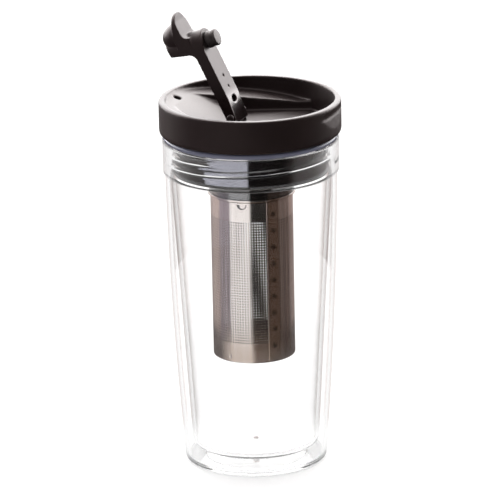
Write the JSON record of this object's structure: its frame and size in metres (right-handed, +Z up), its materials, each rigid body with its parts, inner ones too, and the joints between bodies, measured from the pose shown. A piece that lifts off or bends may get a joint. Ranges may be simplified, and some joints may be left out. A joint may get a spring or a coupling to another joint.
{
  "type": "tea infuser flask",
  "caption": "Clear double-wall tumbler with a black screw lid, a flip lever that stops the drink hole, and a perforated steel infuser hanging from the lid.",
  "frame": {"origin": "centre of the base, on the plane the flask stands on", "axes": "+Z up along the flask's axis, +X towards the side one drinks from"},
  "size_m": [0.085, 0.085, 0.2152],
  "materials": {
    "clear_plastic": "clear, polished",
    "black_plastic": "fine satin moulding",
    "pale_silicone": "translucent, matt",
    "dark_silicone": "matt",
    "steel": "rolled sheet, polished"
  },
  "bodies": {
    "flask": {"outer_wall": "clear_plastic", "inner_liner": "clear_plastic", "neck_collar": "clear_plastic"},
    "seal": {"lid_gasket": "pale_silicone"},
    "lid": {"lid_cap": "black_plastic", "lid_neck": "black_plastic", "hinge_pin": "steel"},
    "lever": {"lever": "black_plastic", "stopper": "dark_silicone"},
    "infuser": {"infuser_basket": "steel", "infuser_floor": "steel"}
  },
  "joints": [
    {"name": "lid_lift", "type": "slide", "parent": "flask", "child": "seal", "axis": [0, 0, 1], "range_m": [0, 0.0105]},
    {"name": "lid_turn", "type": "hinge", "parent": "seal", "child": "lid", "pos_m": [0, 0, 0.15], "axis": [0, 0, 1], "range_deg": [0, 420]},
    {"name": "lever_flip", "type": "hinge", "parent": "lid", "child": "lever", "pos_m": [-0.0067, 0, 0.1673], "axis": [0, 1, 0], "range_deg": [0, 112]},
    {"name": "infuser_turn", "type": "hinge", "parent": "lid", "child": "infuser", "pos_m": [0, 0, 0.1], "axis": [0, 0, 1], "range_deg": [0, 40]}
  ],
  "couplings": [
    {"joint": "lid_lift", "follows": "lid_turn", "m_per_rad": 0.0014323}
  ]
}
